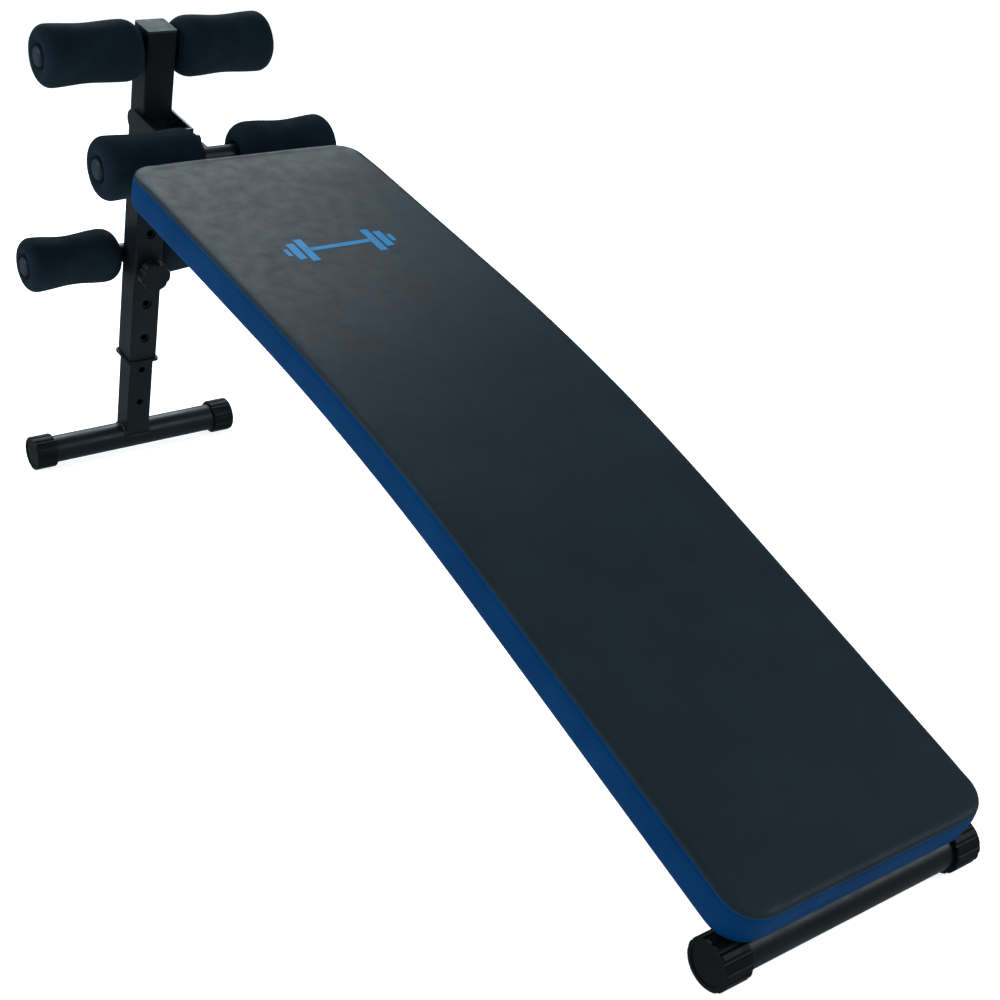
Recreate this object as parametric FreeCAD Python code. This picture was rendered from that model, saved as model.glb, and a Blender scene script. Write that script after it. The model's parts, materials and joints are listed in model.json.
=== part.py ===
import FreeCAD, Part
import math
import os

# Decline sit up bench.
# Millimetres, +Z up. The origin is on the floor under the middle of the bench, on its centre plane.
# +X points to the low end of the pad, where the head lies. +Y is the right-hand side.

V = FreeCAD.Vector
ALONG_Y = V(0, 1, 0)

# ---- driving dimensions ----

# Feet: a round cross tube with a ribbed plastic cap on each end.
LOW_FOOT_X = 685.2
FOOT_SPACING = 1377.0
FOOT_TUBE_R = 19.0
FOOT_WALL = 1.5
CAP_R = 23.7
CAP_LENGTH = 30.0
CAP_END_WALL = 3.0
CAP_DISH_R = 18.5
CAP_RIM_CHAMFER = 1.0
CAP_DISH_DEPTH = 0.8
CAP_FLUTES = 16
FLUTE_R = 3.4
FLUTE_DEPTH = 1.2
FOOT_AXIS_Z = 23.3
LOW_FOOT_HALF = 155.0
HIGH_FOOT_HALF = 153.0

# Main frame: one square tube that rises from the low foot to the fork that holds the post.
FRAME_SIZE = 40.0
FRAME_WALL = 1.5
LOW_SLOPE = 25.6
PAD_SLOPE = 17.1
FORK_SLOPE = 13.2
LOW_STRAIGHT = 376.0
BEND_R = 2805.0
UPPER_STRAIGHT = 288.5
KNEE_R = 600.0
FORK_STRAIGHT = 147.0
FRAME_START = 8.0

# Pad: board, foam core, blue side band and black top panel, all curved like the frame.
PLATE_THICKNESS = 4.0
PAD_OVERHANG = 7.5
PAD_LENGTH = 1107.5
PAD_UPPER_STRAIGHT = 232.0
PAD_NOSE_R = 900.0
PAD_NOSE_TURN = 6.0
PAD_HALF_WIDTH = 150.0
PAD_CORNER_R = 32.0
BOARD_THICKNESS = 12.0
BAND_HEIGHT = 35.0
CROWN_HEIGHT = 8.5
COVER_THICKNESS = 1.4
COVER_EDGE_R = 7.5
SKIN_GAP = 0.1
PLATE_STATIONS = {"lower": 150.0, "middle": 540.0, "upper": 930.0}
PLATE_HALF_LENGTH = 15.0
PLATE_HALF_WIDTH = 90.0
SCREW_Y = 65.0
SCREW_R = 3.0
SCREW_HEAD_R = 5.5
WASHER_R = 6.5
TEE_NUT_R = 4.0
TEE_FLANGE_R = 9.0
TEE_FLANGE_RECESS = 1.8

# Post: square tube that leans over the pad, with a telescoping leg below.
LEAN = 15.3
POST_SIZE = 40.0
POST_WALL = 1.5
POST_BOTTOM = 136.0
POST_TOP = 609.0
TOP_PLUG_FLANGE = 2.7
TOP_PLUG_DEPTH = 12.5
SLEEVE_FLANGE = 4.0
SLEEVE_MARGIN = 3.0
SLEEVE_DEPTH = 24.0
TUBE_CORNER_R = 3.0
PLUG_CORNER_R = 1.4
LEG_SIZE = 35.0
LEG_WALL = 1.5
LEG_TOP = 341.5
HOLE_PITCH = 53.5
KNOB_STATION = 278.0
POST_HOLE_R = 7.5
LEG_HOLE_R = 4.6
LEG_HOLES_BELOW_KNOB = 4

# Roller bars: three round cross tubes, each with a foam roller on either side.
BAR_R = 12.7
BAR_WALL = 1.5
BAR_HALF = 151.0
BAR_PLUG_R = 13.0
BAR_PLUG_HEAD = 5.5
BAR_PLUG_EDGE_R = 4.0
BAR_PLUG_DEPTH = 12.0
TOP_BAR_STATION = 581.7
LOWER_BAR_STATION = 279.5
MIDDLE_BAR_FROM_FORK = 107.0
ROLLER_INNER_Y = 25.0
ROLLER_OUTER_Y = 155.0
ROLLER_CLEARANCE = 0.08
BIG_ROLLER_R = 38.5
SMALL_ROLLER_R = 36.5
ROLLER_WAIST = 2.8
ROLLER_EDGE_R = 13.0
ROLLER_MOUTH = 5.0

# Fork: two cheek plates on the frame's upper end. The post turns between them when it folds.
CHEEK_INNER_Y = 23.0
CHEEK_THICKNESS = 3.0
PIVOT_STATION = 425.0
PIVOT_R = 5.0
PIVOT_BOSS_R = 15.0
PIVOT_HEX_ACROSS = 16.0
PIVOT_HEAD_LENGTH = 6.4
PIVOT_NUT_LENGTH = 8.9
PIVOT_THREAD_END = 11.0
SPACER_R = 11.0
PIVOT_BUSH_WALL = 2.0
EAR_STATION = 488.0
EAR_R = 13.5
CHEEK_BACK_EDGE = -8.0
CHEEK_TOP_SLOPE = 21.0
CHEEK_BOTTOM_SLOPE = -17.5
STOP_PLATE_SPAN = (446.0, 491.0)

# Pins with running clearance.
RUNNING_CLEARANCE = 0.05
HEIGHT_PIN_R = 4.0
HEIGHT_PIN_TRAVEL = 6.0
HEIGHT_PIN_END = 41.0
LOCK_STATION = 451.0
LOCK_PIN_R = 4.0
LOCK_PIN_TRAVEL = 8.0
LOCK_BARREL_R = 7.5
LOCK_BARREL_LENGTH = 18.0
LOCK_KNOB_R = 7.0
LOCK_KNOB_LENGTH = 20.0
LOCK_KNOB_END_WALL = 5.0
LOCK_KNOB_EDGE_R = 2.0
KNOB_R = 21.5
KNOB_LOBES = 6
KNOB_GROOVE_R = 6.5
KNOB_GROOVE_DEPTH = 3.4
KNOB_LENGTH = 17.0
KNOB_EDGE_R = 4.0
KNOB_RECESS_R = 10.0
KNOB_RECESS_DEPTH = 9.0
KNOB_BOSS_R = 9.0
KNOB_BOSS_LENGTH = 10.0

# ---- values worked out from them ----

HIGH_FOOT_X = LOW_FOOT_X - FOOT_SPACING
PAD_BASE = FRAME_SIZE / 2 + PLATE_THICKNESS
SEAM_LEVEL = PAD_BASE + BAND_HEIGHT
CHEEK_OUTER_Y = CHEEK_INNER_Y + CHEEK_THICKNESS
LOCK_BARREL_END = CHEEK_OUTER_Y + LOCK_BARREL_LENGTH
LOCK_PIN_END = LOCK_BARREL_END + LOCK_PIN_TRAVEL + LOCK_KNOB_LENGTH - LOCK_KNOB_END_WALL
SIDES = {"left": -1, "right": 1}


# ---- placing things on the post and along the bench ----

POST_FRAME = FreeCAD.Placement(V(HIGH_FOOT_X, 0, FOOT_AXIS_Z), FreeCAD.Rotation(ALONG_Y, LEAN))


def on_post(shape):
    """Move a shape from post coordinates (X forward of the axis, Z up the post) to the bench."""
    shape.Placement = POST_FRAME.multiply(shape.Placement)
    return shape


def post_point(station, forward, y=0.0):
    return POST_FRAME.multVec(V(forward, y, station))


def slope_normal(angle):
    return V(math.sin(math.radians(angle)), 0, math.cos(math.radians(angle)))


def slope_direction(angle):
    """Unit vector up the bench, from the low end to the fork."""
    return V(-math.cos(math.radians(angle)), 0, math.sin(math.radians(angle)))


class BenchCurve:
    """A side-view curve of straights and arcs, walked by length from the low foot's axis."""

    def __init__(self, spans):
        """spans holds (length, turn in degrees); a turn of 0 is a straight."""
        self.spans = []
        point = V(LOW_FOOT_X, 0, FOOT_AXIS_Z)
        angle = LOW_SLOPE
        start = 0.0
        for length, turn in spans:
            self.spans.append((start, start + length, point, angle, turn))
            point, angle = self.advance(point, angle, turn, length, length)
            start += length

    @staticmethod
    def advance(point, angle, turn, length, distance):
        if turn == 0:
            return point + slope_direction(angle) * distance, angle
        radius = length / math.radians(turn)
        end_angle = angle - turn * distance / length
        centre = point - slope_normal(angle) * radius
        return centre + slope_normal(end_angle) * radius, end_angle

    def span_at(self, u):
        for span in self.spans:
            if u <= span[1]:
                return span
        return self.spans[-1]

    def at(self, u, offset=0.0):
        """The point a given distance square to the curve, and the slope there."""
        start, end, point, angle, turn = self.span_at(u)
        centre_point, slope = self.advance(point, angle, turn, end - start, u - start)
        return centre_point + slope_normal(slope) * offset, slope

    def edges(self, u0, u1, offset):
        stops = [s[1] for s in self.spans if u0 < s[1] < u1]
        stations = [u0] + stops + [u1]
        found = []
        for a, b in zip(stations[:-1], stations[1:]):
            first = self.at(a, offset)[0]
            last = self.at(b, offset)[0]
            if self.span_at((a + b) / 2)[4] == 0:
                found.append(Part.LineSegment(first, last).toShape())
            else:
                middle = self.at((a + b) / 2, offset)[0]
                found.append(Part.Arc(first, middle, last).toShape())
        return found

    def bar(self, u0, u1, low, high, half_width):
        """A solid between two offsets of the curve, centred on the bench's centre plane."""
        bottom = self.edges(u0, u1, low)
        top = self.edges(u0, u1, high)
        low_end = Part.LineSegment(self.at(u0, high)[0], self.at(u0, low)[0]).toShape()
        high_end = Part.LineSegment(self.at(u1, low)[0], self.at(u1, high)[0]).toShape()
        wire = Part.Wire(Part.__sortEdges__(bottom + [high_end] + top + [low_end]))
        solid = Part.Face(wire).extrude(V(0, 2 * half_width, 0))
        solid.translate(V(0, -half_width, 0))
        return solid

    def stand(self, shape, u, y=0.0):
        """Move a shape whose Z is square to the curve to its place along it."""
        point, slope = self.at(u)
        here = FreeCAD.Placement(point + V(0, y, 0), FreeCAD.Rotation(ALONG_Y, slope))
        shape.Placement = here.multiply(shape.Placement)
        return shape


def arc_length(radius, turn):
    return radius * math.radians(turn)


COMMON_SPANS = [
    (LOW_STRAIGHT, 0),
    (arc_length(BEND_R, LOW_SLOPE - PAD_SLOPE), LOW_SLOPE - PAD_SLOPE),
]
FRAME_CURVE = BenchCurve(
    COMMON_SPANS
    + [
        (UPPER_STRAIGHT, 0),
        (arc_length(KNEE_R, PAD_SLOPE - FORK_SLOPE), PAD_SLOPE - FORK_SLOPE),
        (FORK_STRAIGHT, 0),
    ]
)
PAD_CURVE = BenchCurve(
    COMMON_SPANS + [(PAD_UPPER_STRAIGHT, 0), (arc_length(PAD_NOSE_R, PAD_NOSE_TURN), PAD_NOSE_TURN)]
)
FRAME_END = FRAME_CURVE.spans[-1][1]
MIDDLE_BAR_CENTRE = FRAME_CURVE.at(FRAME_END - MIDDLE_BAR_FROM_FORK, FRAME_SIZE / 2 + BAR_R)[0]


# ---- plain shapes ----


def rod(centre, radius, y0, y1):
    """A cylinder along Y through a point of the side plane."""
    return Part.makeCylinder(radius, y1 - y0, V(centre.x, y0, centre.z), ALONG_Y)


def pipe(centre, outer, inner, y0, y1):
    return rod(centre, outer, y0, y1).cut(rod(centre, inner, y0 - 1, y1 + 1))


def square_bar(size, z0, z1, corner_r):
    """An upright square bar with rounded corners, centred on the Z axis."""
    bar = Part.makeBox(size, size, z1 - z0, V(-size / 2, -size / 2, z0))
    upright = [e for e in bar.Edges if abs(e.tangentAt(e.FirstParameter).z) > 0.9]
    return bar.makeFillet(corner_r, upright)


def square_tube(size, wall, z0, z1):
    inner = square_bar(size - 2 * wall, z0 - 1, z1 + 1, TUBE_CORNER_R - wall)
    return square_bar(size, z0, z1, TUBE_CORNER_R).cut(inner)


def disc(radius, z0, z1):
    return Part.makeCylinder(radius, z1 - z0, V(0, 0, z0))


def hexagon(centre, across_flats, y0, y1):
    corner = across_flats / math.sqrt(3)
    points = []
    for k in range(7):
        turn = math.radians(60 * k)
        points.append(V(centre.x + corner * math.cos(turn), y0, centre.z + corner * math.sin(turn)))
    return Part.Face(Part.makePolygon(points)).extrude(V(0, y1 - y0, 0))


def forward_rod(radius, t0, t1, station):
    """In post coordinates, a cylinder that points forward at a height up the post."""
    return Part.makeCylinder(radius, t1 - t0, V(t0, 0, station), V(1, 0, 0))


def side_rod(radius, y0, y1, station, forward=0.0):
    """In post coordinates, a cylinder along Y."""
    return Part.makeCylinder(radius, y1 - y0, V(forward, y0, station), ALONG_Y)


def mirrored(shape):
    return shape.mirror(V(0, 0, 0), ALONG_Y)


# ---- feet ----


def foot_centre(x):
    return V(x, 0, FOOT_AXIS_Z)


def foot_tube(x, half_length):
    end = half_length - CAP_END_WALL - SKIN_GAP
    return pipe(foot_centre(x), FOOT_TUBE_R, FOOT_TUBE_R - FOOT_WALL, -end, end)


def foot_cap(x, half_length):
    """A ribbed cup over the right end of a foot tube, with a flat land at the floor."""
    centre = foot_centre(x)
    start = half_length - CAP_LENGTH
    body = rod(centre, CAP_R, start, half_length)
    rims = [e for e in body.Edges if e.Closed]
    body = body.makeChamfer(CAP_RIM_CHAMFER, rims)
    body = body.cut(rod(centre, FOOT_TUBE_R + SKIN_GAP, start - 1, half_length - CAP_END_WALL))
    for k in range(CAP_FLUTES):
        from_bottom = (k + 0.5) * 360.0 / CAP_FLUTES
        if min(from_bottom, 360.0 - from_bottom) < 12.0:
            continue
        turn = math.radians(from_bottom)
        reach = CAP_R + FLUTE_R - FLUTE_DEPTH
        groove = V(x + reach * math.sin(turn), 0, FOOT_AXIS_Z - reach * math.cos(turn))
        body = body.cut(rod(groove, FLUTE_R, start - 1, half_length + 1))
    body = body.cut(rod(centre, CAP_DISH_R, half_length - CAP_DISH_DEPTH, half_length + 1))
    floor = Part.makeBox(2 * CAP_R, 2 * CAP_LENGTH, CAP_R, V(x - CAP_R, start - 10, -CAP_R))
    return body.cut(floor)


# ---- main frame and fork ----


def main_frame_tube():
    half = FRAME_SIZE / 2
    hollow = half - FRAME_WALL
    outer = FRAME_CURVE.bar(FRAME_START, FRAME_END, -half, half, half)
    inner = FRAME_CURVE.bar(FRAME_START - 1, FRAME_END + 1, -hollow, hollow, hollow)
    saddle = rod(foot_centre(LOW_FOOT_X), FOOT_TUBE_R + SKIN_GAP, -half - 1, half + 1)
    return outer.cut(inner).cut(saddle)


def fork_cheek(side):
    """Side plate from the frame's end round the pivot, with a rounded ear above it."""
    ear = post_point(EAR_STATION, 0)
    pivot = post_point(PIVOT_STATION, 0)
    half = FRAME_SIZE / 2 + CHEEK_THICKNESS
    front_top = FRAME_CURVE.at(FRAME_END, half)[0]
    front_bottom = FRAME_CURVE.at(FRAME_END, -half)[0]
    up = slope_normal(CHEEK_TOP_SLOPE)
    down = slope_normal(CHEEK_BOTTOM_SLOPE) * -1
    corners = [
        ear + up * EAR_R,
        front_top,
        front_bottom,
        pivot + down * PIVOT_BOSS_R,
        post_point(PIVOT_STATION, CHEEK_BACK_EDGE),
        post_point(EAR_STATION, CHEEK_BACK_EDGE),
    ]
    flat = Part.Face(Part.makePolygon(corners + corners[:1]))
    plate = flat.extrude(V(0, CHEEK_THICKNESS, 0))
    plate.translate(V(0, CHEEK_INNER_Y, 0))
    plate = plate.fuse(rod(ear, EAR_R, CHEEK_INNER_Y, CHEEK_OUTER_Y))
    plate = plate.fuse(rod(pivot, PIVOT_BOSS_R, CHEEK_INNER_Y, CHEEK_OUTER_Y)).removeSplitter()
    plate = plate.cut(rod(pivot, PIVOT_R + 0.2, 0, 2 * CHEEK_OUTER_Y))
    if side == "right":
        return plate.cut(rod(post_point(LOCK_STATION, 0), LOCK_PIN_R + 0.3, 0, 2 * CHEEK_OUTER_Y))
    return mirrored(plate)


def fork_end_plate():
    """Plate that closes the frame tube and joins the two cheeks."""
    half = FRAME_SIZE / 2 + CHEEK_THICKNESS
    start = FRAME_END + SKIN_GAP
    width = CHEEK_INNER_Y - SKIN_GAP
    return FRAME_CURVE.bar(start, start + CHEEK_THICKNESS, -half, half, width)


def fork_stop_plate():
    """Plate between the cheeks, in front of the post, that the post leans on when upright."""
    face = POST_SIZE / 2 + 0.4
    width = CHEEK_INNER_Y - SKIN_GAP
    low, high = STOP_PLATE_SPAN
    return on_post(Part.makeBox(CHEEK_THICKNESS, 2 * width, high - low, V(face, -width, low)))


def pivot_bolt():
    centre = post_point(PIVOT_STATION, 0)
    face = -CHEEK_OUTER_Y - SKIN_GAP
    head = hexagon(centre, PIVOT_HEX_ACROSS, face - PIVOT_HEAD_LENGTH, face)
    shank = rod(centre, PIVOT_R, face - 1, CHEEK_OUTER_Y + PIVOT_THREAD_END)
    return head.fuse(shank).removeSplitter()


def pivot_nut():
    centre = post_point(PIVOT_STATION, 0)
    face = CHEEK_OUTER_Y + SKIN_GAP
    nut = hexagon(centre, PIVOT_HEX_ACROSS, face, face + PIVOT_NUT_LENGTH)
    return nut.cut(rod(centre, PIVOT_R + SKIN_GAP, 0, 2 * CHEEK_OUTER_Y))


def pivot_spacers():
    """Nylon washers that fill the gap between the post and each cheek."""
    centre = post_point(PIVOT_STATION, 0)
    face = POST_SIZE / 2
    spacer = pipe(centre, SPACER_R, PIVOT_R + 0.2, face + 0.2, CHEEK_INNER_Y - 0.2)
    return Part.makeCompound([spacer, mirrored(spacer)])


def lock_barrel():
    """Guide welded on the right cheek, in which the fold lock pin slides."""
    y0 = CHEEK_OUTER_Y + SKIN_GAP
    bore = LOCK_PIN_R + RUNNING_CLEARANCE
    return pipe(post_point(LOCK_STATION, 0), LOCK_BARREL_R, bore, y0, LOCK_BARREL_END)


def lock_pin():
    """Fold lock pin, drawn back so that its nose stands clear of the post."""
    return rod(post_point(LOCK_STATION, 0), LOCK_PIN_R, POST_SIZE / 2 + 0.4, LOCK_PIN_END)


def lock_knob():
    """Round pull knob on the lock pin's outer end."""
    centre = post_point(LOCK_STATION, 0)
    y0 = LOCK_BARREL_END + LOCK_PIN_TRAVEL + 1
    knob = rod(centre, LOCK_KNOB_R, y0, y0 + LOCK_KNOB_LENGTH)
    knob = knob.makeFillet(LOCK_KNOB_EDGE_R, [e for e in knob.Edges if e.Closed])
    return knob.cut(rod(centre, LOCK_PIN_R + SKIN_GAP, 0, LOCK_PIN_END + SKIN_GAP))


# ---- post ----


def post_hole_stations():
    """Heights of the adjusting holes in the post's front wall, without the knob's own hole."""
    return [KNOB_STATION + k * HOLE_PITCH for k in (-2, -1, 1, 2)]


def post_tube():
    half = POST_SIZE / 2
    tube = square_tube(POST_SIZE, POST_WALL, POST_BOTTOM, POST_TOP)
    for station in post_hole_stations():
        tube = tube.cut(forward_rod(POST_HOLE_R, half - 4, half + 1, station))
    tube = tube.cut(forward_rod(HEIGHT_PIN_R + 0.2, half - 4, half + 1, KNOB_STATION))
    tube = tube.cut(side_rod(BAR_R + SKIN_GAP, -half - 1, half + 1, TOP_BAR_STATION))
    tube = tube.cut(side_rod(PIVOT_R + PIVOT_BUSH_WALL + SKIN_GAP, -half - 1, half + 1, PIVOT_STATION))
    tube = tube.cut(side_rod(LOCK_PIN_R + 0.4, 0, half + 1, LOCK_STATION))
    return on_post(tube)


def post_pivot_bush():
    half = POST_SIZE / 2
    bush = side_rod(PIVOT_R + PIVOT_BUSH_WALL, -half, half, PIVOT_STATION)
    return on_post(bush.cut(side_rod(PIVOT_R + RUNNING_CLEARANCE, -half - 1, half + 1, PIVOT_STATION)))


def post_top_plug():
    flange = square_bar(POST_SIZE, POST_TOP + SKIN_GAP, POST_TOP + TOP_PLUG_FLANGE, TUBE_CORNER_R)
    width = POST_SIZE - 2 * POST_WALL - 0.4
    stem = square_bar(width, POST_TOP - TOP_PLUG_DEPTH, POST_TOP + 1, PLUG_CORNER_R)
    return on_post(flange.fuse(stem).removeSplitter())


def post_sleeve():
    """Plastic guide in the post's lower end, with a flange that shows below the tube."""
    bore = square_bar(LEG_SIZE + 0.3, POST_BOTTOM - 10, POST_BOTTOM + 40, 2.8)
    width = POST_SIZE + 2 * SLEEVE_MARGIN
    flange = square_bar(width, POST_BOTTOM - SLEEVE_FLANGE, POST_BOTTOM - SKIN_GAP, 5.0)
    width = POST_SIZE - 2 * POST_WALL - 0.2
    stem = square_bar(width, POST_BOTTOM - 1, POST_BOTTOM + SLEEVE_DEPTH, PLUG_CORNER_R)
    return on_post(flange.fuse(stem).cut(bore).removeSplitter())


def knob_boss():
    """Threaded boss on the post's front face that guides the height pin."""
    face = POST_SIZE / 2 + 0.05
    end = face + KNOB_BOSS_LENGTH
    boss = forward_rod(KNOB_BOSS_R, face, end, KNOB_STATION)
    return on_post(boss.cut(forward_rod(HEIGHT_PIN_R + RUNNING_CLEARANCE, 0, end + 1, KNOB_STATION)))


def height_pin():
    """Spring pin of the height knob, drawn back so that its nose clears the leg."""
    return on_post(forward_rod(HEIGHT_PIN_R, LEG_SIZE / 2 + 0.4, HEIGHT_PIN_END, KNOB_STATION))


def height_knob():
    """Lobed hand knob with a hollow back that takes in the boss."""
    back = POST_SIZE / 2 + 2 + HEIGHT_PIN_TRAVEL
    front = back + KNOB_LENGTH
    knob = forward_rod(KNOB_R, back, front, KNOB_STATION)
    knob = knob.makeFillet(KNOB_EDGE_R, [e for e in knob.Edges if e.Closed])
    for k in range(KNOB_LOBES):
        turn = math.radians(360.0 * k / KNOB_LOBES)
        reach = KNOB_R + KNOB_GROOVE_R - KNOB_GROOVE_DEPTH
        groove = Part.makeCylinder(
            KNOB_GROOVE_R,
            front - back + 2,
            V(back - 1, reach * math.sin(turn), KNOB_STATION + reach * math.cos(turn)),
            V(1, 0, 0),
        )
        knob = knob.cut(groove)
    knob = knob.cut(forward_rod(KNOB_RECESS_R, back - 1, back + KNOB_RECESS_DEPTH, KNOB_STATION))
    bore = forward_rod(HEIGHT_PIN_R + SKIN_GAP, back, HEIGHT_PIN_END + SKIN_GAP, KNOB_STATION)
    return on_post(knob.cut(bore))


# ---- telescoping leg ----


def leg_tube():
    half = LEG_SIZE / 2
    tube = square_tube(LEG_SIZE, LEG_WALL, 8.0, LEG_TOP)
    for k in range(-LEG_HOLES_BELOW_KNOB, 2):
        station = KNOB_STATION + k * HOLE_PITCH
        tube = tube.cut(forward_rod(LEG_HOLE_R, -half - 1, half + 1, station))
    tube = tube.cut(side_rod(FOOT_TUBE_R + SKIN_GAP, -half - 1, half + 1, 0))
    return on_post(tube)


def leg_top_guide():
    """Plastic plug on the leg's upper end that centres it in the post."""
    width = POST_SIZE - 2 * POST_WALL - 0.4
    flange = square_bar(width, LEG_TOP + SKIN_GAP, LEG_TOP + 3, PLUG_CORNER_R)
    width = LEG_SIZE - 2 * LEG_WALL - 0.2
    stem = square_bar(width, LEG_TOP - 4.5, LEG_TOP + 1, PLUG_CORNER_R)
    return on_post(flange.fuse(stem).removeSplitter())


# ---- roller bars ----


def bar_centres():
    return {
        "top": post_point(TOP_BAR_STATION, 0),
        "middle": MIDDLE_BAR_CENTRE,
        "lower": post_point(LOWER_BAR_STATION, -POST_SIZE / 2 - BAR_R),
    }


def roller_bar(centre):
    return pipe(centre, BAR_R, BAR_R - BAR_WALL, -BAR_HALF, BAR_HALF)


def bar_plugs(centre):
    """Domed plastic plugs in both ends of a roller bar."""
    face = BAR_HALF + SKIN_GAP
    stem = rod(centre, BAR_R - BAR_WALL - SKIN_GAP, BAR_HALF - BAR_PLUG_DEPTH, face + 1)
    head = rod(centre, BAR_PLUG_R, face, face + BAR_PLUG_HEAD)
    outer_rim = [e for e in head.Edges if e.Closed and e.CenterOfMass.y > face + 3]
    head = head.makeFillet(BAR_PLUG_EDGE_R, outer_rim)
    plug = head.fuse(stem).removeSplitter()
    return Part.makeCompound([plug, mirrored(plug)])


def foam_roller(centre, radius, side):
    """Foam sleeve with flared, rounded ends, a slim waist and a chamfered outer mouth."""
    bore = BAR_R + ROLLER_CLEARANCE
    y0, y1, edge = ROLLER_INNER_Y, ROLLER_OUTER_Y, ROLLER_EDGE_R
    nip = edge * (1 - math.sqrt(0.5))

    def at(y, r):
        return V(centre.x, y, centre.z + r)

    waist = at((y0 + y1) / 2, radius - ROLLER_WAIST)
    outline = [
        Part.LineSegment(at(y0, bore), at(y0, radius - edge)).toShape(),
        Part.Arc(at(y0, radius - edge), at(y0 + nip, radius - nip), at(y0 + edge, radius)).toShape(),
        Part.Arc(at(y0 + edge, radius), waist, at(y1 - edge, radius)).toShape(),
        Part.Arc(at(y1 - edge, radius), at(y1 - nip, radius - nip), at(y1, radius - edge)).toShape(),
        Part.LineSegment(at(y1, radius - edge), at(y1, bore + ROLLER_MOUTH)).toShape(),
        Part.LineSegment(at(y1, bore + ROLLER_MOUTH), at(y1 - ROLLER_MOUTH, bore)).toShape(),
        Part.LineSegment(at(y1 - ROLLER_MOUTH, bore), at(y0, bore)).toShape(),
    ]
    roller = Part.Face(Part.Wire(outline)).revolve(V(centre.x, 0, centre.z), ALONG_Y, 360)
    return roller if side > 0 else mirrored(roller)


# ---- pad ----


def pad_blank(low, high, inset, top_edge_r=0.0):
    """A pad-shaped block between two levels above the frame's centre line."""
    corner_r = PAD_CORNER_R - inset
    block = PAD_CURVE.bar(
        -PAD_OVERHANG + inset,
        PAD_LENGTH - PAD_OVERHANG - inset,
        low,
        high,
        PAD_HALF_WIDTH - inset,
    )
    upright = []
    for edge in block.Edges:
        direction = edge.Vertexes[-1].Point - edge.Vertexes[0].Point
        if abs(edge.Length - (high - low)) < 1e-3 and abs(direction.y) < 1e-6:
            upright.append(edge)
    block = block.makeFillet(corner_r, upright)
    if top_edge_r == 0:
        return block
    top_faces = [f for f in block.Faces if is_pad_top(f, high)]
    seen = {}
    for face in top_faces:
        for edge in face.OuterWire.Edges:
            key = tuple(round(c, 3) for c in edge.CenterOfMass)
            seen.setdefault(key, []).append(edge)
    rim = [edges[0] for edges in seen.values() if len(edges) == 1]
    return block.makeFillet(top_edge_r, rim)


def is_pad_top(face, level):
    """Whether a face lies on the pad's upper surface at this level."""
    centre = face.CenterOfMass
    nearest = min(abs(PAD_CURVE.at(u, level)[0].sub(centre).Length) for u in range(0, int(PAD_LENGTH), 4))
    upward = face.normalAt(*face.Surface.parameter(centre)).z
    return nearest < 6.0 and abs(upward) > 0.8


def pad_screw_places():
    return [(u, side * SCREW_Y) for u in PLATE_STATIONS.values() for side in SIDES.values()]


def pad_board():
    board = pad_blank(PAD_BASE, PAD_BASE + BOARD_THICKNESS, COVER_THICKNESS + SKIN_GAP)
    top = PAD_BASE + BOARD_THICKNESS
    for u, y in pad_screw_places():
        board = board.cut(PAD_CURVE.stand(disc(TEE_NUT_R + 0.2, PAD_BASE - 1, top + 1), u, y))
        board = board.cut(PAD_CURVE.stand(disc(TEE_FLANGE_R + 0.2, top - TEE_FLANGE_RECESS, top + 1), u, y))
    return board


def pad_foam_core():
    low = PAD_BASE + BOARD_THICKNESS + SKIN_GAP
    high = SEAM_LEVEL + CROWN_HEIGHT - COVER_THICKNESS - SKIN_GAP
    inset = COVER_THICKNESS + SKIN_GAP
    return pad_blank(low, high, inset, COVER_EDGE_R - inset)


def pad_side_band():
    outer = pad_blank(PAD_BASE, SEAM_LEVEL, 0.0)
    return outer.cut(pad_blank(PAD_BASE - 1, SEAM_LEVEL + 1, COVER_THICKNESS))


def pad_top_panel():
    low = SEAM_LEVEL + SKIN_GAP
    high = SEAM_LEVEL + CROWN_HEIGHT
    outer = pad_blank(low, high, 0.0, COVER_EDGE_R)
    inner = pad_blank(low - 5, high - COVER_THICKNESS, COVER_THICKNESS, COVER_EDGE_R - COVER_THICKNESS)
    return outer.cut(inner)


def pad_plate(station):
    """Cross plate welded on the frame tube, which the pad's board is screwed to."""
    low = FRAME_SIZE / 2 + SKIN_GAP
    high = PAD_BASE - SKIN_GAP
    plate = PAD_CURVE.bar(
        station - PLATE_HALF_LENGTH, station + PLATE_HALF_LENGTH, low, high, PLATE_HALF_WIDTH
    )
    for side in SIDES.values():
        hole = PAD_CURVE.stand(disc(SCREW_R + 0.4, low - 1, high + 1), station, side * SCREW_Y)
        plate = plate.cut(hole)
    return plate


def pad_screws():
    """Machine screws with washer heads, put in from below."""
    face = FRAME_SIZE / 2
    screws = []
    for u, y in pad_screw_places():
        washer = disc(WASHER_R, face - 1.4, face - SKIN_GAP)
        head = disc(SCREW_HEAD_R, face - 5.0, face - 1.0).fuse(washer)
        screw = head.fuse(disc(SCREW_R, face - 2, PAD_BASE + 10)).removeSplitter()
        screws.append(PAD_CURVE.stand(screw, u, y))
    return Part.makeCompound(screws)


def pad_tee_nuts():
    """Flanged nuts let into the board from above."""
    top = PAD_BASE + BOARD_THICKNESS
    nuts = []
    for u, y in pad_screw_places():
        flange = disc(TEE_FLANGE_R, top - TEE_FLANGE_RECESS + SKIN_GAP, top - 0.2)
        nut = flange.fuse(disc(TEE_NUT_R, top - 10, top - 1))
        nut = nut.cut(disc(SCREW_R + SKIN_GAP, top - 11, top)).removeSplitter()
        nuts.append(PAD_CURVE.stand(nut, u, y))
    return Part.makeCompound(nuts)


# ---- the whole bench ----


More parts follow.
